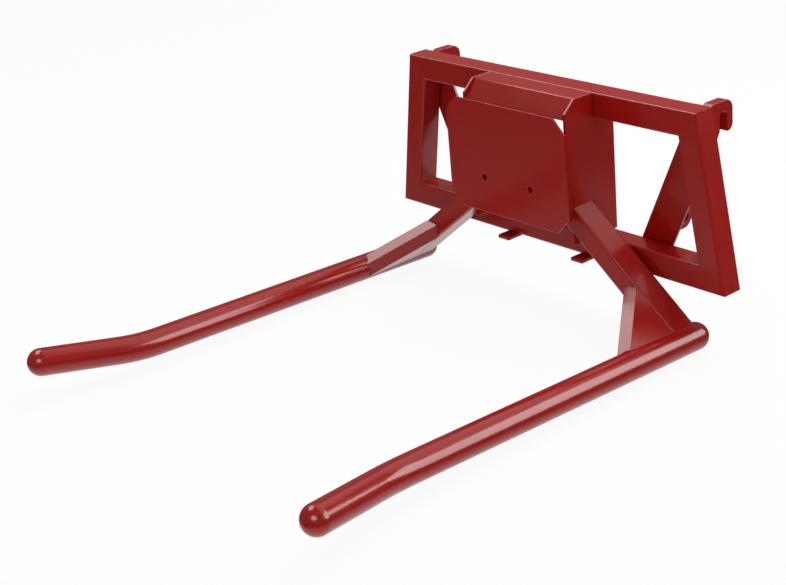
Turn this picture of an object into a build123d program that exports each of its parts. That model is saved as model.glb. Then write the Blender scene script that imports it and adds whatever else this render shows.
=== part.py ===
"""Two-tine round-bale carrier for a front loader, in millimetres.

The origin is the middle of the hook line, the axis of the loader's cross bar in the two hooks.
+Z is up, -Y is forward along the tines, and X runs across the machine.
The carrier is one weldment: every piece keeps its own solid, and pieces meet face to face.
"""

import os
from math import atan2, cos, degrees, hypot, radians, sin, tan

from build123d import *

# Hitch frame: a trapezoid of square tube, wider at the bottom
tube = 70.0
tube_wall = 5.0
tube_corner_radius = 6.0
frame_height = 476.0
frame_bottom_width = 1256.0
side_lean = 10.0

# Hooks that hang on the loader's bar
hook_setback = 57.5
hook_below_top = 43.5
hook_throat = 30.0
hook_thickness = 30.0
hook_edge_inset = 14.0
hook_crown = 42.0
hook_back = 36.5
hook_tip_drop = 42.5
hook_back_radius = 27.0
hook_tip_radius = 19.0
hook_lip_drop = 36.0
hook_heel_drop = 96.0
hook_lip_radius = 8.0
hook_weld_chamfer = 9.0

# Flat bars across the back of the frame, and the locking lugs on them
brace_width = 98.0
brace_thickness = 8.0
brace_outside_hook = 1.0
brace_inside_lug = 21.0
brace_end_inset = 4.0
brace_side_inset = 16.0
lug_spacing = 830.0
lug_thickness = 25.0
lug_radius = 32.0
lug_hole = 34.0
lug_hole_height = 141.0
lug_hole_setback = 24.0

# Feet under the bottom tube
foot_spacing = 290.0
foot_width = 43.0
foot_thickness = 10.0
foot_reach = 37.0

# Tower in front of the frame: two side plates and a folded top plate
tower_width = 394.0
side_plate = 8.0
side_plate_top_reach = 68.0
side_plate_reach = 107.0
side_plate_slope_drop = 35.0
side_plate_foot_reach = 94.0
top_plate = 6.0
top_plate_recess = 1.5
top_plate_reach = 63.0
top_plate_fold = 49.0
top_plate_fold_radius = 8.0
top_plate_apron = 65.0

# Arms of rectangular tube, which meet in the tower and carry the tines
arm_width = 62.0
arm_depth = 80.0
arm_wall = 5.0
arm_corner_radius = 7.0
arm_setback = 12.0
arm_apex_height = 291.0
slot_clearance = 0.3
slot_back_gap = 3.0
slot_lip_rise = 20.0
slot_lip_drop = 5.0

# Front cover plate on two spacers
cover = 6.0
cover_width = 458.0
cover_height = 320.0
cover_chamfer = 40.0
cover_bottom_height = 120.0
cover_reach = 145.0
cover_hole = 18.0
cover_hole_spacing = 178.0
cover_hole_height = 223.0
spacer_diameter = 36.0

# Tines of round pipe, bent outward and up near the tip
tine_diameter = 76.1
tine_wall = 6.3
tine_spacing = 1075.0
tine_drop = 130.0
tine_rise = 1.8
tine_rear_setback = 8.5
tine_straight_length = 1044.0
tine_tip_length = 270.0
tine_bend = 15.0
tine_bend_roll = 23.0
tine_bend_radius = 450.0
saddle_clearance = 0.3

# Folded gussets between the arms and the tines
gusset_plate = 6.0
gusset_arm_reach = 180.0
gusset_tine_reach = 152.0
gusset_ridge = 22.0

# Planes and places worked out from the values above
frame_back_y = -hook_setback
frame_front_y = frame_back_y - tube
frame_top_z = hook_below_top
frame_bottom_z = frame_top_z - frame_height
frame_top_width = frame_bottom_width - 2 * frame_height * tan(radians(side_lean))
brace_back_y = frame_back_y + brace_thickness
hook_outer_x = frame_top_width / 2 - hook_edge_inset
lug_outer_x = lug_spacing / 2
lug_hole_y = brace_back_y + lug_hole_setback
lug_hole_z = frame_bottom_z + lug_hole_height
arm_back_y = frame_front_y - arm_setback
arm_front_y = arm_back_y - arm_depth
arm_middle_y = (arm_back_y + arm_front_y) / 2
arm_apex_z = frame_bottom_z + arm_apex_height
cover_front_y = frame_front_y - cover_reach
cover_back_y = cover_front_y + cover
cover_hole_z = frame_bottom_z + cover_hole_height
tine_radius = tine_diameter / 2
tine_x = tine_spacing / 2
tine_meets_arm_z = frame_bottom_z - tine_drop
arm_slope = degrees(atan2(arm_apex_z - tine_meets_arm_z, tine_x))
arm_length = hypot(arm_apex_z - tine_meets_arm_z, tine_x)
tine_rear_y = frame_front_y - tine_rear_setback
tine_rear_z = tine_meets_arm_z - (tine_rear_y - arm_middle_y) * tan(radians(tine_rise))

sides = ((1, "right"), (-1, "left"))

os.makedirs("parts", exist_ok=True)


def save(piece, name):
    """Label a finished piece and write it as its own STEP file."""
    piece.label = name
    export_step(piece, f"parts/{name}.step")


def frame_corner(side, at_top, end_inset, side_inset):
    """Corner of the frame's outline in X and Z, moved in from its level edge and its leaning one."""
    z = frame_top_z - end_inset if at_top else frame_bottom_z + end_inset
    lean = radians(side_lean)
    x = frame_bottom_width / 2 - (z - frame_bottom_z) * tan(lean) - side_inset / cos(lean)
    return side * x, z


def arm_plane(side):
    """Section plane of an arm at its apex, with local X along +Y and its normal down the arm."""
    slope = radians(arm_slope)
    down_arm = (side * cos(slope), 0, -sin(slope))
    return Plane(origin=(0, arm_middle_y, arm_apex_z), x_dir=(0, 1, 0), z_dir=down_arm)


def tine_plane(side):
    """Plane of a tine's bend at its rear end, with local X along the straight pipe."""
    rise = radians(tine_rise)
    roll = radians(tine_bend_roll)
    along = Vector(0, -cos(rise), sin(rise))
    across = Vector(side * cos(roll), sin(roll) * sin(rise), sin(roll) * cos(rise))
    return Plane(origin=(side * tine_x, tine_rear_y, tine_rear_z), x_dir=along, z_dir=along.cross(across))


def pipe_plane(side, back_along=0.0):
    """Section plane of a tine's straight pipe, some way behind its rear end."""
    bend = tine_plane(side)
    return Plane(origin=bend.origin - bend.x_dir * back_along, x_dir=bend.z_dir, z_dir=bend.x_dir)


# Frame tubes: a mitred length between each pair of neighbouring corners
frame_members = {
    "frame_top_tube": ((-1, True), (1, True)),
    "frame_bottom_tube": ((-1, False), (1, False)),
    "frame_side_tube_right": ((1, True), (1, False)),
    "frame_side_tube_left": ((-1, True), (-1, False)),
}

for name, (start, end) in frame_members.items():
    with BuildPart() as frame_tube:
        with BuildSketch(Plane.XZ.offset(-frame_back_y)):
            with BuildLine():
                Polyline(
                    frame_corner(*start, 0, 0),
                    frame_corner(*end, 0, 0),
                    frame_corner(*end, tube, tube),
                    frame_corner(*start, tube, tube),
                    close=True,
                )
            make_face()
        extrude(amount=tube)
        long_edges = frame_tube.edges().sort_by(SortBy.LENGTH)[-4:]
        fillet(long_edges, tube_corner_radius)
        with BuildSketch(Plane.XZ.offset(tube_wall - frame_back_y)):
            with BuildLine():
                Polyline(
                    frame_corner(*start, tube_wall, tube_wall),
                    frame_corner(*end, tube_wall, tube_wall),
                    frame_corner(*end, tube - tube_wall, tube - tube_wall),
                    frame_corner(*start, tube - tube_wall, tube - tube_wall),
                    close=True,
                )
            make_face()
        extrude(amount=tube - 2 * tube_wall, mode=Mode.SUBTRACT)
    save(frame_tube.part, name)


# Back braces: flat bars from behind the lugs to behind the hooks, kept inside the frame's outline
brace_hook_x = hook_outer_x - hook_thickness / 2 + brace_outside_hook
brace_lug_x = lug_outer_x - lug_thickness / 2 - brace_inside_lug
brace_lean = (brace_hook_x - brace_lug_x) / -lug_hole_z
brace_foot_x = brace_hook_x + brace_lean * frame_bottom_z
brace_head_x = brace_hook_x + brace_lean * frame_top_z
brace_half_span = brace_width / 2 * hypot(1, brace_lean)
for side, hand in sides:
    with BuildPart() as brace:
        with BuildSketch(Plane.XZ.offset(-frame_back_y)):
            with BuildLine():
                Polyline(
                    (side * (brace_foot_x - brace_half_span), frame_bottom_z),
                    (side * (brace_foot_x + brace_half_span), frame_bottom_z),
                    (side * (brace_head_x + brace_half_span), frame_top_z),
                    (side * (brace_head_x - brace_half_span), frame_top_z),
                    close=True,
                )
            make_face()
            with BuildLine():
                Polyline(
                    frame_corner(-1, True, brace_end_inset, brace_side_inset),
                    frame_corner(1, True, brace_end_inset, brace_side_inset),
                    frame_corner(1, False, brace_end_inset, brace_side_inset),
                    frame_corner(-1, False, brace_end_inset, brace_side_inset),
                    close=True,
                )
            make_face(mode=Mode.INTERSECT)
        extrude(amount=-brace_thickness)
    save(brace.part, f"back_brace_{hand}")


# Hooks: thick profiled plates on the braces, with a throat that opens downward
throat = hook_throat / 2
hook_roundings = {
    (hook_back, hook_crown): hook_back_radius,
    (hook_back, -hook_tip_drop): hook_tip_radius,
    (-throat, -hook_lip_drop): hook_lip_radius,
}
for side, hand in sides:
    sketch_x = hook_outer_x - hook_thickness if side > 0 else -hook_outer_x
    with BuildPart() as hook:
        with BuildSketch(Plane.YZ.offset(sketch_x)) as profile:
            with BuildLine():
                Line((brace_back_y, -hook_heel_drop), (brace_back_y, hook_crown))
                Line((brace_back_y, hook_crown), (hook_back, hook_crown))
                Line((hook_back, hook_crown), (hook_back, -hook_tip_drop))
                Line((hook_back, -hook_tip_drop), (throat, -hook_tip_drop))
                Line((throat, -hook_tip_drop), (throat, 0))
                CenterArc((0, 0), throat, 0, 180)
                Line((-throat, 0), (-throat, -hook_lip_drop))
                Line((-throat, -hook_lip_drop), (brace_back_y, -hook_heel_drop))
            make_face()
            for place, radius in hook_roundings.items():
                fillet(profile.vertices().sort_by_distance(place)[0], radius)
            weld_corner = profile.vertices().sort_by_distance((brace_back_y, hook_crown))[0]
            chamfer(weld_corner, hook_weld_chamfer)
        extrude(amount=hook_thickness)
    save(hook.part, f"hitch_hook_{hand}")


# Locking lugs: round-ended plates with the hole for the loader's locking pin
for side, hand in sides:
    sketch_x = lug_outer_x - lug_thickness if side > 0 else -lug_outer_x
    with BuildPart() as lug:
        with BuildSketch(Plane.YZ.offset(sketch_x)):
            with BuildLine():
                Line((lug_hole_y, lug_hole_z + lug_radius), (brace_back_y, lug_hole_z + lug_radius))
                Line((brace_back_y, lug_hole_z + lug_radius), (brace_back_y, lug_hole_z - lug_radius))
                Line((brace_back_y, lug_hole_z - lug_radius), (lug_hole_y, lug_hole_z - lug_radius))
                CenterArc((lug_hole_y, lug_hole_z), lug_radius, -90, 180)
            make_face()
            with Locations((lug_hole_y, lug_hole_z)):
                Circle(lug_hole / 2, mode=Mode.SUBTRACT)
        extrude(amount=lug_thickness)
    save(lug.part, f"locking_lug_{hand}")


# Feet: short flat bars under the bottom tube
for side, hand in sides:
    with BuildPart() as foot:
        with BuildSketch(Plane.XY.offset(frame_bottom_z)):
            with Locations((side * foot_spacing / 2, frame_back_y)):
                Rectangle(foot_width, tube + foot_reach, align=(Align.CENTER, Align.MAX))
        extrude(amount=-foot_thickness)
    save(foot.part, f"foot_{hand}")


# Arms: rectangular tubes mitred together at the middle and saddled onto the tines
for side, hand in sides:
    with BuildPart() as arm:
        with BuildSketch(arm_plane(side).offset(-arm_width)):
            RectangleRounded(arm_depth, arm_width, arm_corner_radius)
            Rectangle(arm_depth - 2 * arm_wall, arm_width - 2 * arm_wall, mode=Mode.SUBTRACT)
        extrude(amount=arm_width + arm_length)
        split(bisect_by=Plane.YZ, keep=Keep.TOP if side > 0 else Keep.BOTTOM)
        with BuildSketch(pipe_plane(side, tine_diameter)):
            Circle(tine_radius + saddle_clearance)
        extrude(amount=tine_straight_length, mode=Mode.SUBTRACT)
    save(arm.part, f"tine_arm_{hand}")


# Tower side plates: profiled plates between the tubes, with a slot, open in front, that an arm passes through
side_plate_bottom_z = frame_bottom_z + tube
side_plate_front_y = frame_front_y - side_plate_reach
side_plate_foot_y = frame_front_y - side_plate_foot_reach
slot_front_y = arm_front_y - slot_clearance
slot_middle_z = arm_apex_z - tower_width / 2 * tan(radians(arm_slope))
slot_bottom_z = slot_middle_z - (arm_width / 2 + slot_clearance) / cos(radians(arm_slope))
for side, hand in sides:
    inner_face = tower_width / 2 - side_plate
    sketch_x = inner_face if side > 0 else -tower_width / 2
    with BuildPart() as plate:
        with BuildSketch(Plane.YZ.offset(sketch_x)):
            with BuildLine():
                Polyline(
                    (side_plate_front_y, slot_middle_z - slot_lip_drop),
                    (side_plate_foot_y, slot_middle_z - slot_lip_drop),
                    (side_plate_foot_y, side_plate_bottom_z),
                    (brace_back_y, side_plate_bottom_z),
                    (brace_back_y, frame_top_z - tube),
                    (frame_front_y, frame_top_z - tube),
                    (frame_front_y, frame_top_z),
                    (frame_front_y - side_plate_top_reach, frame_top_z),
                    (side_plate_front_y, frame_top_z - side_plate_slope_drop),
                    close=True,
                )
            make_face()
        extrude(amount=side_plate)
        with BuildSketch(arm_plane(side)):
            with Locations((-arm_depth / 2 - slot_clearance, 0)):
                Rectangle(
                    arm_depth + slot_clearance + slot_back_gap,
                    arm_width + 2 * slot_clearance,
                    align=(Align.MIN, Align.CENTER),
                )
        extrude(amount=arm_length, mode=Mode.SUBTRACT)
        with BuildSketch(Plane.YZ.offset(sketch_x)):
            with BuildLine():
                Polyline(
                    (slot_front_y, slot_middle_z + slot_lip_rise),
                    (side_plate_front_y, slot_middle_z - slot_lip_drop),
                    (side_plate_front_y, slot_bottom_z),
                    (slot_front_y, slot_bottom_z),
                    close=True,
                )
            make_face()
        extrude(amount=side_plate, mode=Mode.SUBTRACT)
    save(plate.part, f"tower_side_plate_{hand}")


# Tower top plate: one sheet folded down in front, let in between the side plates
fold = radians(top_plate_fold)
top_plate_z = frame_top_z - top_plate_recess
fold_y = frame_front_y - top_plate_reach
apron_y = fold_y - top_plate_apron * cos(fold)
apron_z = top_plate_z - top_plate_apron * sin(fold)
with BuildPart() as folded_plate:
    with BuildSketch(Plane.YZ.offset(side_plate - tower_width / 2)) as section:
        with BuildLine():
            Polyline(
                (frame_front_y, top_plate_z),
                (fold_y, top_plate_z),
                (apron_y, apron_z),
                (apron_y + top_plate * sin(fold), apron_z - top_plate * cos(fold)),
                (fold_y + top_plate * tan(fold / 2), top_plate_z - top_plate),
                (frame_front_y, top_plate_z - top_plate),
                close=True,
            )
        make_face()
        outer_fold = section.vertices().sort_by_distance((fold_y, top_plate_z))[0]
        fillet(outer_fold, top_plate_fold_radius)
    extrude(amount=tower_width - 2 * side_plate)
save(folded_plate.part, "tower_top_plate")


# Front cover: a plate with four cut corners and two fixing holes
cover_middle_z = frame_bottom_z + cover_bottom_height + cover_height / 2
with BuildPart() as cover_plate:
    with BuildSketch(Plane.XZ.offset(-cover_back_y)) as outline:
        with Locations((0, cover_middle_z)):
            Rectangle(cover_width, cover_height)
        chamfer(outline.vertices(), cover_chamfer)
        with Locations((0, cover_hole_z)):
            with GridLocations(cover_hole_spacing, 0, 2, 1):
                Circle(cover_hole / 2, mode=Mode.SUBTRACT)
    extrude(amount=cover)
save(cover_plate.part, "front_cover")


# Cover spacers: turned bosses on the arms behind the cover's holes
for side, hand in sides:
    with BuildPart() as spacer:
        with BuildSketch(Plane.XZ.offset(-arm_front_y)):
            with Locations((side * cover_hole_spacing / 2, cover_hole_z)):
                Circle(spacer_diameter / 2)
                Circle(cover_hole / 2, mode=Mode.SUBTRACT)
        extrude(amount=arm_front_y - cover_back_y)
    save(spacer.part, f"cover_spacer_{hand}")


# Tines: pipe swept along a straight run, one bend and a short tip
bend = radians(tine_bend)
tip_end = (tine_straight_length + tine_tip_length * cos(bend), tine_tip_length * sin(bend))
for side, hand in sides:
    with BuildPart() as tine:
        with BuildLine(tine_plane(side)) as route:
            FilletPolyline((0, 0), (tine_straight_length, 0), tip_end, radius=tine_bend_radius)
        with BuildSketch(pipe_plane(side)):
            Circle(tine_radius)
            Circle(tine_radius - tine_wall, mode=Mode.SUBTRACT)
        sweep(path=route.wire())
    save(tine.part, f"tine_pipe_{hand}")


# Tine caps: pressed domes that close both ends of each pipe
for side, hand in sides:
    rear = tine_plane(side)
    tip_direction = rear.x_dir * cos(bend) + rear.y_dir * sin(bend)
    cap_planes = (
        Plane(origin=rear.origin, x_dir=-rear.x_dir, z_dir=rear.z_dir),
        Plane(origin=rear.from_local_coords(tip_end), x_dir=tip_direction, z_dir=rear.z_dir),
    )
    with BuildPart() as caps:
        for place in cap_planes:
            with BuildSketch(place):
                with BuildLine():
                    CenterArc((0, 0), tine_radius, 0, 90)
                    Line((0, tine_radius), (0, tine_radius - tine_wall))
                    CenterArc((0, 0), tine_radius - tine_wall, 0, 90)
                    Line((tine_radius - tine_wall, 0), (tine_radius, 0))
                make_face()
            revolve(axis=Axis(place.origin, place.x_dir))
    save(caps.part, f"tine_caps_{hand}")


# Gussets: a folded plate with a ridge down its face and two cheeks, in each corner of arm and tine
cheek = arm_width / 2
inner_cheek = cheek - gusset_plate
facet = atan2(gusset_ridge, cheek)
inner_ridge = gusset_ridge - gusset_plate / cos(facet)
inner_eave = inner_ridge - inner_cheek * tan(facet)
run_along_arm = tine_radius - gusset_arm_reach
run_length = hypot(run_along_arm, gusset_tine_reach)
gusset_depth = gusset_arm_reach
for side, hand in sides:
    slope = radians(arm_slope)
    up_arm = Vector(-side * cos(slope), 0, sin(slope))
    forward = Vector(0, -1, 0)
    corner = Vector(side * tine_x, arm_front_y, tine_meets_arm_z)
    run = (up_arm * run_along_arm + forward * gusset_tine_reach).normalized()
    outward = (up_arm * gusset_tine_reach - forward * run_along_arm).normalized()
    section_origin = corner + up_arm * gusset_arm_reach - run * gusset_depth
    with BuildPart() as gusset:
        with BuildSketch(Plane(origin=section_origin, x_dir=outward.cross(run), z_dir=run)):
            with BuildLine():
                Polyline(
                    (-cheek, -gusset_depth),
                    (-cheek, 0),
                    (0, gusset_ridge),
                    (cheek, 0),
                    (cheek, -gusset_depth),
                    (inner_cheek, -gusset_depth),
                    (inner_cheek, inner_eave),
                    (0, inner_ridge),
                    (-inner_cheek, inner_eave),
                    (-inner_cheek, -gusset_depth),
                    close=True,
                )
            make_face()
        extrude(amount=run_length + 2 * gusset_depth)
        split(bisect_by=Plane.XZ.offset(-arm_front_y), keep=Keep.TOP)
        split(bisect_by=Plane(origin=corner, z_dir=up_arm), keep=Keep.TOP)
        with BuildSketch(pipe_plane(side, tine_diameter)):
            Circle(tine_radius + saddle_clearance)
        extrude(amount=tine_straight_length, mode=Mode.SUBTRACT)
    save(gusset.part, f"gusset_{hand}")
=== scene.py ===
"""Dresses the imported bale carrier: gloss red powder coat on every piece, eased edges, welds and a studio stage."""

import math

import bmesh
import bpy
from bpy.props import FloatProperty, FloatVectorProperty, PointerProperty
from mathutils import Matrix, Quaternion, Vector


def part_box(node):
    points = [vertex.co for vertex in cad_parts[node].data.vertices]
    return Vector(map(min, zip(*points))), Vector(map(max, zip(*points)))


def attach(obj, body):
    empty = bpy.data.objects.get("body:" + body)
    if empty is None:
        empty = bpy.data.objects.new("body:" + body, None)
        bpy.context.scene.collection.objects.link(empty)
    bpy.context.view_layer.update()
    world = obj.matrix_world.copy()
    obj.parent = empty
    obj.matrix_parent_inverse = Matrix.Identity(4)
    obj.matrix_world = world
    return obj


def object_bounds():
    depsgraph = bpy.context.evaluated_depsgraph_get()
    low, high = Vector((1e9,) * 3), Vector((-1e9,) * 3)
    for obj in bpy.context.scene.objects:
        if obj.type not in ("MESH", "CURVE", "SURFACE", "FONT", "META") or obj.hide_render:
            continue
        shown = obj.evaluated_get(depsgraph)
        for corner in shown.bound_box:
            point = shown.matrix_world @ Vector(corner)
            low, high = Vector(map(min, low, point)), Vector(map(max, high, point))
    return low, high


bl_info = {
    "name": "Bale carrier looks",
    "version": (1, 0, 0),
    "blender": (4, 5, 0),
    "location": "View3D > Sidebar > Bale carrier",
    "description": "Powder coat, eased edges, welds and a studio stage for a two-tine bale carrier",
    "category": "Object",
}

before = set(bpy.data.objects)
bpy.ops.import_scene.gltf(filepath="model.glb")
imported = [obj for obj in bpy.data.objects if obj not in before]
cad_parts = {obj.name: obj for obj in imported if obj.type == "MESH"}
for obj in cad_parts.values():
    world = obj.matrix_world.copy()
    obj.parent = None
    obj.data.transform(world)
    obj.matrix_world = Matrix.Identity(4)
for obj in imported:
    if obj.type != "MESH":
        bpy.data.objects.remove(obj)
cad_low, cad_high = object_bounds()

FRAME_NODES = (
    "frame_top_tube", "frame_bottom_tube", "frame_side_tube_left", "frame_side_tube_right",
    "back_brace_left", "back_brace_right", "foot_left", "foot_right",
)
HITCH_NODES = ("hitch_hook_left", "hitch_hook_right", "locking_lug_left", "locking_lug_right")
TOWER_NODES = (
    "tower_side_plate_left", "tower_side_plate_right", "tower_top_plate",
    "front_cover", "cover_spacer_left", "cover_spacer_right",
)
ARM_NODES = ("tine_arm_left", "tine_arm_right", "gusset_left", "gusset_right")
TINE_NODES = ("tine_pipe_left", "tine_pipe_right", "tine_caps_left", "tine_caps_right")
PLATE_NODES = HITCH_NODES + (
    "back_brace_left", "back_brace_right", "foot_left", "foot_right", "tower_side_plate_left",
    "tower_side_plate_right", "tower_top_plate", "front_cover", "gusset_left", "gusset_right",
)

# Where the straight seams stop: at the rounding of the tubes, short of a plate's ends and at the braces' edges.
TUBE_CORNER = 0.010
WELD_STOP = 0.006
HOOK_WELD_FOOT, HOOK_WELD_MIDDLE, HOOK_WELD_TOP = -0.055, 0.006, 0.034

# A weld's section, in weld legs: its toes' reach along the faces and sink into them, its root's sink and its crown.
TOE_REACH, TOE_SINK, ROOT_SINK, CROWN = 1.05, 0.05, 0.1, 0.15
SECTION_STEPS = 5
# The leg at a weld's ends and in the dips between its ripples, as a share of the full leg.
END_SHARE, DIP_SHARE = 0.6, 0.88

# Plate edges: corners this near count as one, faces this nearly flat too, and edges sharper than this are rounded.
MERGE_DISTANCE = 0.00001
FLAT_DEGREES, SHARP_DEGREES = 0.5, 35
EDGE_SEGMENTS = 3

# The skin's roughness in its sharpest and dullest patches, and the noise levels that stand for them.
SHARP_ROUGHNESS, DULL_ROUGHNESS = 0.15, 0.20
SHARP_NOISE, DULL_NOISE = 0.3, 0.7
# The colour sockets of a Mix node, whose names its other sockets share.
MIX_A, MIX_B, MIX_RESULT = 6, 7, 2

# How far below the carrier the floor and the card on it lie, and how wide the card's grid lets its light spread.
FLOOR_DROP, UNDER_CARD_DROP = 0.0005, 0.0003
UNDER_CARD_SPREAD_DEGREES = 146

# Places of the lamps: azimuth, elevation and roll in degrees, then distance, width and height.
KEY_PLACE = (170, 60, 0, 4.2, 3.4, 2.4)
UNDER_CARD_PLACE = (0, -90, 0, 0.0, 2.8, 2.8)
# Cards that only the gloss shows: name, the setting for its level, and place.
CARDS = (
    ("right_card", "strip_level", (132.5, 23, 13, 8.0, 5.5, 4.8)),
    ("left_card", "side_level", (-84, 56, 40, 7.0, 4.6, 3.0)),
    ("top_card", "top_level", (172, 58, 0, 5.0, 7.6, 3.6)),
    ("front_card", "front_level", (35, 33, 0, 6.0, 3.0, 2.6)),
)

# Where the photograph was taken from: the lens centre, and the picture's right and up directions.
CAMERA_PLACE = (3.00972, -3.06660, 1.23236)
CAMERA_RIGHT = (0.64455, 0.75927, -0.08981)
CAMERA_UP = (-0.24477, 0.31621, 0.91657)
CAMERA_LENS_MM = 72.44
SENSOR_WIDTH_MM = 36.0


def linear(hex_colour):
    """Turns an sRGB hex colour into linear red, green and blue."""
    parts = [int(hex_colour[i:i + 2], 16) / 255 for i in (1, 3, 5)]
    return tuple(p / 12.92 if p <= 0.04045 else ((p + 0.055) / 1.055) ** 2.4 for p in parts)


def add_node(tree, kind, settings=None, values=None, links=None):
    """Adds one shader node with its own settings, its inputs' values and the links that feed it."""
    node = tree.nodes.new(kind)
    for name, value in (settings or {}).items():
        setattr(node, name, value)
    for name, value in (values or {}).items():
        node.inputs[name].default_value = value
    for name, source in (links or {}).items():
        tree.links.new(source, node.inputs[name])
    return node


class CoatSettings(bpy.types.PropertyGroup):
    """The powder coat's colour and skin."""

    colour: FloatVectorProperty(
        name="Coat colour", description="Red of the powder coat where it lies at full thickness",
        subtype="COLOR", size=3, min=0.0, max=1.0, default=linear("#980F08"))
    thin_colour: FloatVectorProperty(
        name="Thin coat colour", description="Red of the powder coat where it lies a little thinner",
        subtype="COLOR", size=3, min=0.0, max=1.0, default=linear("#A0160D"))
    cloud_size: FloatProperty(
        name="Cloud size", description="Width of the soft patches where the gun left more or less powder",
        unit="LENGTH", default=0.160, min=0.01)
    peel_size: FloatProperty(
        name="Orange peel size",
        description="Width of one dimple of the fused powder's skin, drawn coarse enough to show",
        unit="LENGTH", default=0.011, min=0.001)
    peel_height: FloatProperty(
        name="Orange peel height", description="Height of the dimples in the skin",
        unit="LENGTH", default=0.000025, min=0.0, precision=6)
    edge_ease: FloatProperty(
        name="Edge radius", description="Radius that the coat gives to the cut edges of plates",
        unit="LENGTH", default=0.0015, min=0.0, precision=4)
    gloss_size: FloatProperty(
        name="Gloss patch size", description="Width of the patches where the skin is a little duller or sharper",
        unit="LENGTH", default=0.055, min=0.005)


class WeldSettings(bpy.types.PropertyGroup):
    """The fillet welds."""

    leg: FloatProperty(
        name="Weld leg", description="Height and width of a fillet weld",
        unit="LENGTH", default=0.005, min=0.001, precision=4)
    ripple: FloatProperty(
        name="Ripple length", description="Length of one ripple along a weld",
        unit="LENGTH", default=0.005, min=0.001, precision=4)


class StageSettings(bpy.types.PropertyGroup):
    """The floor and the light."""

    floor_colour: FloatVectorProperty(
        name="Floor colour", description="Colour of the plain pale floor",
        subtype="COLOR", size=3, min=0.0, max=1.0, default=linear("#F0F0F0"))
    floor_reach: FloatProperty(
        name="Floor reach", description="Distance from the middle of the floor to its edge",
        unit="LENGTH", default=60.0, min=5.0)
    white_share: FloatProperty(
        name="White share", description="How much of the floor is seen as plain white, the rest showing its shadows",
        subtype="FACTOR", default=0.93, min=0.0, max=1.0)
    glow_share: FloatProperty(
        name="Glow share",
        description="How bright the floor is in the coat's reflections, where dark flags stand round it",
        subtype="FACTOR", default=0.08, min=0.0, max=1.0)
    sky_level: FloatProperty(
        name="Sky level", description="Strength of the even light from all round",
        default=0.61, min=0.0)
    mirror_level: FloatProperty(
        name="Mirror level",
        description="Strength of the sky where the gloss reflects it, between the dark flags of a studio",
        default=0.21, min=0.0)
    key_level: FloatProperty(
        name="Key level", description="Brightness of the soft lamp above and behind",
        default=4.4, min=0.0)
    strip_level: FloatProperty(
        name="Right card level",
        description="Brightness of the card behind on the right, whose reflection draws the band along the tines",
        default=6.3, min=0.0)
    side_level: FloatProperty(
        name="Left card level",
        description="Brightness of the card high on the left, whose reflection lights the gussets",
        default=5.2, min=0.0)
    top_level: FloatProperty(
        name="Top card level",
        description="Brightness of the card overhead, whose reflection softens the tops of the tines",
        default=0.8, min=0.0)
    front_level: FloatProperty(
        name="Front card level",
        description="Brightness of the card in front on the right, whose reflection dots the domed tips",
        default=5.5, min=0.0)
    under_level: FloatProperty(
        name="Under card level",
        description="Brightness of the gridded card on the floor, which shows only in faces that look down",
        default=0.82, min=0.0)


def powder_coat():
    """Gloss polyester powder coat, sprayed dry on steel and fused in an oven.

    It gives the eye a deep even red under a smooth glossy skin, with faint orange peel in the
    reflections, and slightly lighter, duller patches where the powder lies thinner.
    """
    found = bpy.data.materials.get("red_powder_coated_steel")
    if found:
        return found
    coat = bpy.context.scene.carrier_coat
    material = bpy.data.materials.new("red_powder_coated_steel")
    material.use_nodes = True
    tree = material.node_tree
    tree.nodes.clear()
    place = add_node(tree, "ShaderNodeTexCoord").outputs["Object"]
    cloud = add_node(tree, "ShaderNodeTexNoise", values={
        "Scale": 1 / coat.cloud_size, "Detail": 3.0, "Roughness": 0.55}, links={"Vector": place})
    colour = add_node(tree, "ShaderNodeMix", {"data_type": "RGBA"}, values={
        MIX_A: (*coat.colour, 1), MIX_B: (*coat.thin_colour, 1)}, links={"Factor": cloud.outputs["Fac"]})
    patches = add_node(tree, "ShaderNodeTexNoise", values={
        "Scale": 1 / coat.gloss_size, "Detail": 4.0, "Roughness": 0.6}, links={"Vector": place})
    gloss = add_node(tree, "ShaderNodeMapRange", values={
        "From Min": SHARP_NOISE, "From Max": DULL_NOISE, "To Min": SHARP_ROUGHNESS, "To Max": DULL_ROUGHNESS},
        links={"Value": patches.outputs["Fac"]})
    peel = add_node(tree, "ShaderNodeTexNoise", values={
        "Scale": 1 / coat.peel_size, "Detail": 1.0, "Roughness": 0.4}, links={"Vector": place})
    skin = add_node(tree, "ShaderNodeBump", values={
        "Strength": 1.0, "Distance": coat.peel_height}, links={"Height": peel.outputs["Fac"]})
    shader = add_node(tree, "ShaderNodeBsdfPrincipled", values={
        "IOR": 1.5, "Metallic": 0.0},
        links={"Base Color": colour.outputs[MIX_RESULT], "Roughness": gloss.outputs["Result"],
               "Normal": skin.outputs["Normal"]})
    add_node(tree, "ShaderNodeOutputMaterial", links={"Surface": shader.outputs["BSDF"]})
    return material


def coat_nodes(names):
    """Gives CAD nodes the powder coat, and eases the edges of those cut from plate."""
    material = powder_coat()
    for name in names:
        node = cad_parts[name]
        node.data.materials.clear()
        node.data.materials.append(material)
        if name in PLATE_NODES:
            ease_edges(node, bpy.context.scene.carrier_coat.edge_ease)


def ease_edges(node, radius):
    """Rounds a plate's cut edges a little, as the coat does when it flows, so that they catch the light."""
    whole = node.modifiers.new("whole_faces", "WELD")
    whole.merge_threshold = MERGE_DISTANCE
    flat = node.modifiers.new("flat_faces", "DECIMATE")
    flat.decimate_type = "DISSOLVE"
    flat.angle_limit = math.radians(FLAT_DEGREES)
    ease = node.modifiers.new("eased_edges", "BEVEL")
    ease.width = radius
    ease.segments = EDGE_SEGMENTS
    ease.limit_method = "ANGLE"
    ease.angle_limit = math.radians(SHARP_DEGREES)
    ease.use_clamp_overlap = False
    ease.harden_normals = True


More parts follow.
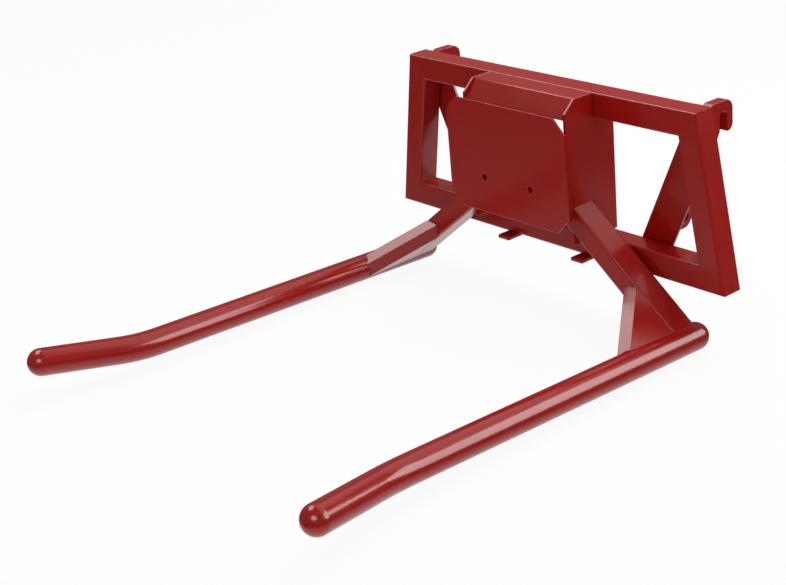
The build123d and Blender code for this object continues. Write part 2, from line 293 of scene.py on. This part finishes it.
def lay_welds(name, seams):
    """Lays fillet welds along straight seams.

    A seam is its two ends and the directions in which the two faces run away from it.
    """
    weld = bpy.context.scene.carrier_weld
    steel = bmesh.new()
    for start, end, across, out in seams:
        start, end, across, out = Vector(start), Vector(end), Vector(across), Vector(out)
        count = 2 * max(2, round((end - start).length / weld.ripple))
        rows = []
        for i in range(count + 1):
            leg = weld.leg * (END_SHARE if i in (0, count) else 1.0 if i % 2 else DIP_SHARE)
            corner = start.lerp(end, i / count)
            row = [steel.verts.new(corner - ROOT_SINK * leg * (across + out))]
            for step in range(SECTION_STEPS + 1):
                along = step / SECTION_STEPS
                climb = (TOE_REACH + TOE_SINK) * along
                crown = CROWN * math.sin(math.pi * along)
                row.append(steel.verts.new(
                    corner + leg * ((TOE_REACH - climb + crown) * across + (climb - TOE_SINK + crown) * out)))
            rows.append(row)
        for row, following in zip(rows, rows[1:]):
            for i in range(len(row)):
                steel.faces.new((row[i - 1], row[i], following[i], following[i - 1]))
        steel.faces.new(rows[0])
        steel.faces.new(rows[-1])
    bmesh.ops.recalc_face_normals(steel, faces=steel.faces)
    for face in steel.faces:
        face.smooth = len(face.verts) == 4
    mesh = bpy.data.meshes.new(name)
    steel.to_mesh(mesh)
    steel.free()
    mesh.materials.append(powder_coat())
    piece = bpy.data.objects.new(name, mesh)
    bpy.context.scene.collection.objects.link(piece)
    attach(piece, "root")


class CARRIER_OT_frame(bpy.types.Operator):
    """Coats the frame tubes, the back braces and the feet"""

    bl_idname = "carrier.dress_frame"
    bl_label = "Dress hitch frame"

    def execute(self, context):
        coat_nodes(FRAME_NODES)
        return {"FINISHED"}


class CARRIER_OT_hitch(bpy.types.Operator):
    """Coats the hooks and the locking lugs"""

    bl_idname = "carrier.dress_hitch"
    bl_label = "Dress hooks and lugs"

    def execute(self, context):
        coat_nodes(HITCH_NODES)
        return {"FINISHED"}


class CARRIER_OT_tower(bpy.types.Operator):
    """Coats the tower plates, the front cover and its spacers"""

    bl_idname = "carrier.dress_tower"
    bl_label = "Dress tower and cover"

    def execute(self, context):
        coat_nodes(TOWER_NODES)
        return {"FINISHED"}


class CARRIER_OT_arms(bpy.types.Operator):
    """Coats the tine arms and their gussets"""

    bl_idname = "carrier.dress_arms"
    bl_label = "Dress arms and gussets"

    def execute(self, context):
        coat_nodes(ARM_NODES)
        return {"FINISHED"}


class CARRIER_OT_tines(bpy.types.Operator):
    """Coats the tine pipes and their domed caps"""

    bl_idname = "carrier.dress_tines"
    bl_label = "Dress tines"

    def execute(self, context):
        coat_nodes(TINE_NODES)
        return {"FINISHED"}


class CARRIER_OT_welds(bpy.types.Operator):
    """Lays the welds of the hooks, lugs, feet and tower plates, and coats them"""

    bl_idname = "carrier.lay_welds"
    bl_label = "Lay welds"

    def execute(self, context):
        hitch, feet, tower = [], [], []
        tube_low, tube_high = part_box("frame_bottom_tube")
        top_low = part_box("frame_top_tube")[0]
        front, back = tube_low.y + TUBE_CORNER, tube_high.y - TUBE_CORNER
        for side in ("left", "right"):
            low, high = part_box(f"locking_lug_{side}")
            for x, away in ((low.x, -1), (high.x, 1)):
                hitch.append(((x, low.y, low.z + WELD_STOP), (x, low.y, high.z - WELD_STOP), (away, 0, 0), (0, 1, 0)))
            low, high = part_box(f"hitch_hook_{side}")
            inner, outer = sorted((low.x, high.x), key=abs)
            away = 1 if side == "right" else -1
            hitch.append(((inner, low.y, HOOK_WELD_FOOT), (inner, low.y, HOOK_WELD_TOP), (-away, 0, 0), (0, 1, 0)))
            hitch.append(((outer, low.y, HOOK_WELD_MIDDLE), (outer, low.y, HOOK_WELD_TOP), (away, 0, 0), (0, 1, 0)))
            low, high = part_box(f"foot_{side}")
            for x, away in ((low.x, -1), (high.x, 1)):
                feet.append(((x, front, high.z), (x, back, high.z), (away, 0, 0), (0, 0, -1)))
            low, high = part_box(f"tower_side_plate_{side}")
            for x, away in ((low.x, -1), (high.x, 1)):
                tower.append(((x, front, tube_high.z), (x, back, tube_high.z), (away, 0, 0), (0, 0, 1)))
                tower.append(((x, front, top_low.z), (x, back, top_low.z), (away, 0, 0), (0, 0, -1)))
        lay_welds("weld_hitch", hitch)
        lay_welds("weld_feet", feet)
        lay_welds("weld_tower", tower)
        return {"FINISHED"}


def seen_white(tree, lit, share, glow):
    """Mixes plain white into what is seen of a floor, and returns the shader.

    The share holds for the camera and through glass, and the glow for reflections.
    """
    path = add_node(tree, "ShaderNodeLightPath")
    direct = add_node(tree, "ShaderNodeMath", {"operation": "MAXIMUM"}, links={
        0: path.outputs["Is Camera Ray"], 1: path.outputs["Is Transmission Ray"]})
    plain = add_node(tree, "ShaderNodeMath", {"operation": "MULTIPLY"}, values={1: share}, links={
        0: direct.outputs[0]})
    mirrored = add_node(tree, "ShaderNodeMath", {"operation": "MULTIPLY"}, values={1: glow}, links={
        0: path.outputs["Is Glossy Ray"]})
    amount = add_node(tree, "ShaderNodeMath", {"operation": "MAXIMUM"}, links={
        0: plain.outputs[0], 1: mirrored.outputs[0]})
    white = add_node(tree, "ShaderNodeEmission", values={"Color": (1, 1, 1, 1), "Strength": 1.0})
    mix = add_node(tree, "ShaderNodeMixShader", links={
        "Fac": amount.outputs[0], 1: lit, 2: white.outputs[0]})
    return mix.outputs[0]


def hang_lamp(name, place, level):
    """Hangs a soft rectangular lamp that faces the carrier.

    Azimuth 0 is in front, along the tines, and 90 to the right.
    """
    azimuth, elevation, roll, away, width, height = place
    around, over = math.radians(azimuth), math.radians(elevation)
    towards = Vector((math.sin(around) * math.cos(over), -math.cos(around) * math.cos(over), math.sin(over)))
    lamp = bpy.data.lights.new(name, "AREA")
    lamp.shape = "RECTANGLE"
    lamp.size, lamp.size_y = width, height
    lamp.energy = level * math.pi * width * height
    hung = bpy.data.objects.new(name, lamp)
    hung.location = (cad_low + cad_high) / 2 + towards * away
    hung.rotation_mode = "QUATERNION"
    hung.rotation_quaternion = (-towards).to_track_quat("-Z", "Y") @ Quaternion((0, 0, 1), math.radians(roll))
    hung.visible_camera = False
    bpy.context.scene.collection.objects.link(hung)
    return hung


class CARRIER_OT_stage(bpy.types.Operator):
    """Makes the floor, the light and the camera"""

    bl_idname = "carrier.make_stage"
    bl_label = "Make stage"

    def execute(self, context):
        stage = context.scene.carrier_stage
        reach = stage.floor_reach
        middle = (cad_low + cad_high) / 2
        corners = [(x * reach, y * reach, 0) for x, y in ((-1, -1), (1, -1), (1, 1), (-1, 1))]
        mesh = bpy.data.meshes.new("floor")
        mesh.from_pydata(corners, [], [(0, 1, 2, 3)])
        floor = bpy.data.objects.new("floor", mesh)
        floor.location = (middle.x, middle.y, cad_low.z - FLOOR_DROP)
        context.scene.collection.objects.link(floor)
        paint = bpy.data.materials.new("matt_white_floor_paint")
        paint.use_nodes = True
        tree = paint.node_tree
        tree.nodes.clear()
        matt = add_node(tree, "ShaderNodeBsdfDiffuse", values={"Color": (*stage.floor_colour, 1)})
        unlit = add_node(tree, "ShaderNodeBsdfDiffuse", values={"Color": (0, 0, 0, 1)})
        path = add_node(tree, "ShaderNodeLightPath")
        lit = add_node(tree, "ShaderNodeMixShader", links={
            "Fac": path.outputs["Is Glossy Ray"], 1: matt.outputs[0], 2: unlit.outputs[0]})
        add_node(tree, "ShaderNodeOutputMaterial", links={
            "Surface": seen_white(tree, lit.outputs[0], stage.white_share, stage.glow_share)})
        mesh.materials.append(paint)

        world = bpy.data.worlds.new("studio_sky")
        world.use_nodes = True
        tree = world.node_tree
        tree.nodes.clear()
        path = add_node(tree, "ShaderNodeLightPath")
        sky = add_node(tree, "ShaderNodeBackground", values={
            "Color": (1, 1, 1, 1), "Strength": stage.sky_level})
        flags = add_node(tree, "ShaderNodeBackground", values={
            "Color": (1, 1, 1, 1), "Strength": stage.mirror_level})
        both = add_node(tree, "ShaderNodeMixShader", links={
            "Fac": path.outputs["Is Glossy Ray"], 1: sky.outputs[0], 2: flags.outputs[0]})
        white = add_node(tree, "ShaderNodeBackground", values={"Color": (1, 1, 1, 1), "Strength": 1.0})
        seen = add_node(tree, "ShaderNodeMixShader", links={
            "Fac": path.outputs["Is Camera Ray"], 1: both.outputs[0], 2: white.outputs[0]})
        add_node(tree, "ShaderNodeOutputWorld", links={"Surface": seen.outputs[0]})
        context.scene.world = world

        key = hang_lamp("key_softbox", KEY_PLACE, stage.key_level)
        key.visible_glossy = False
        for name, setting, place in CARDS:
            card = hang_lamp(name, place, getattr(stage, setting))
            card.visible_diffuse = False
        under = hang_lamp("under_card", UNDER_CARD_PLACE, stage.under_level)
        under.location.z = cad_low.z - UNDER_CARD_DROP
        under.data.spread = math.radians(UNDER_CARD_SPREAD_DEGREES)
        under.visible_diffuse = False

        right, up = Vector(CAMERA_RIGHT), Vector(CAMERA_UP)
        turn = Matrix((right, up, right.cross(up))).transposed()
        lens = bpy.data.cameras.new("camera")
        lens.lens = CAMERA_LENS_MM
        lens.sensor_width = SENSOR_WIDTH_MM
        camera = bpy.data.objects.new("camera", lens)
        camera.matrix_world = Matrix.Translation(CAMERA_PLACE) @ turn.to_4x4()
        context.scene.collection.objects.link(camera)
        context.scene.camera = camera
        context.scene.view_settings.view_transform = "Standard"
        return {"FINISHED"}


class CARRIER_PT_looks(bpy.types.Panel):
    """Lists the pieces and the settings they are made from"""

    bl_label = "Bale carrier"
    bl_space_type = "VIEW_3D"
    bl_region_type = "UI"
    bl_category = "Bale carrier"

    def draw(self, context):
        for group in (context.scene.carrier_coat, context.scene.carrier_weld, context.scene.carrier_stage):
            box = self.layout.box()
            for name in group.__annotations__:
                box.prop(group, name)
        for operator in OPERATORS:
            self.layout.operator(operator.bl_idname)


OPERATORS = (CARRIER_OT_frame, CARRIER_OT_hitch, CARRIER_OT_tower, CARRIER_OT_arms, CARRIER_OT_tines,
             CARRIER_OT_welds, CARRIER_OT_stage)
CLASSES = (CoatSettings, WeldSettings, StageSettings, *OPERATORS, CARRIER_PT_looks)


def register():
    for cls in CLASSES:
        bpy.utils.register_class(cls)
    bpy.types.Scene.carrier_coat = PointerProperty(type=CoatSettings)
    bpy.types.Scene.carrier_weld = PointerProperty(type=WeldSettings)
    bpy.types.Scene.carrier_stage = PointerProperty(type=StageSettings)


def unregister():
    del bpy.types.Scene.carrier_stage
    del bpy.types.Scene.carrier_weld
    del bpy.types.Scene.carrier_coat
    for cls in reversed(CLASSES):
        bpy.utils.unregister_class(cls)


def main():
    register()
    bpy.ops.carrier.dress_frame()
    bpy.ops.carrier.dress_hitch()
    bpy.ops.carrier.dress_tower()
    bpy.ops.carrier.dress_arms()
    bpy.ops.carrier.dress_tines()
    bpy.ops.carrier.lay_welds()
    bpy.ops.carrier.make_stage()


if __name__ == "__main__":
    main()
